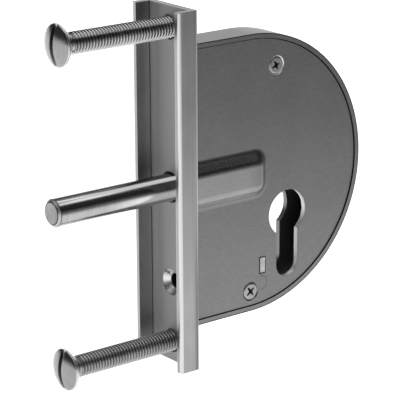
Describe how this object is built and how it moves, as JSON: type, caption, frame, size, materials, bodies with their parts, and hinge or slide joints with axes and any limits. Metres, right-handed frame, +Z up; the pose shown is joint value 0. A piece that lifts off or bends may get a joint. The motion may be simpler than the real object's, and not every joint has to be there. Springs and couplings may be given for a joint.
{
  "type": "gate bolt lock",
  "caption": "D-shaped sheet steel gate lock on a channel forend, with a round sliding bolt, a profile cylinder hole and long slotted fixing screws through the gate's frame.",
  "frame": {"origin": "on the bolt's axis, in the plane where the case meets the channel", "axes": "-X the way the bolt is thrown, -Y the cover's side, +Z up along the channel"},
  "size_m": [0.1356, 0.0274, 0.132],
  "materials": {
    "channel_steel": "satin, drawn along its length",
    "case_steel": "zinc plated, dull",
    "cover_steel": "zinc plated, dull",
    "cover_screw_steel": "zinc plated",
    "screw_steel": "bright",
    "bolt_steel": "polished",
    "inner_steel": "plain, lightly oiled",
    "spring_steel": "drawn wire"
  },
  "bodies": {
    "case": {"forend_channel": "channel_steel", "case_tray": "case_steel", "case_cover": "cover_steel", "cover_screws": "cover_screw_steel", "cover_pillars": "inner_steel", "fixing_screws": "screw_steel", "cylinder_screw_guide": "inner_steel", "bolt_guide_bush": "inner_steel", "tail_guide_stud": "inner_steel", "guide_washers": "inner_steel", "tumbler_pivot": "inner_steel", "tumbler_washer": "inner_steel", "tumbler_spring": "spring_steel", "spring_post": "inner_steel", "spring_stop": "inner_steel"},
    "bolt": {"bolt_rod": "bolt_steel", "bolt_tail": "inner_steel", "tail_rivets": "inner_steel"},
    "tumbler": {"tumbler": "inner_steel", "tumbler_pin": "inner_steel"}
  },
  "joints": [
    {"name": "bolt_slide", "type": "slide", "parent": "case", "child": "bolt", "axis": [-1, 0, 0], "range_m": [0, 0.02]},
    {"name": "tumbler_drop", "type": "hinge", "parent": "case", "child": "tumbler", "pos_m": [0.02, 0, 0.0175], "axis": [0, 1, 0], "range_deg": [0, 9.5], "stiffness_Nm_per_rad": 0.02, "springref_deg": 20.05}
  ]
}
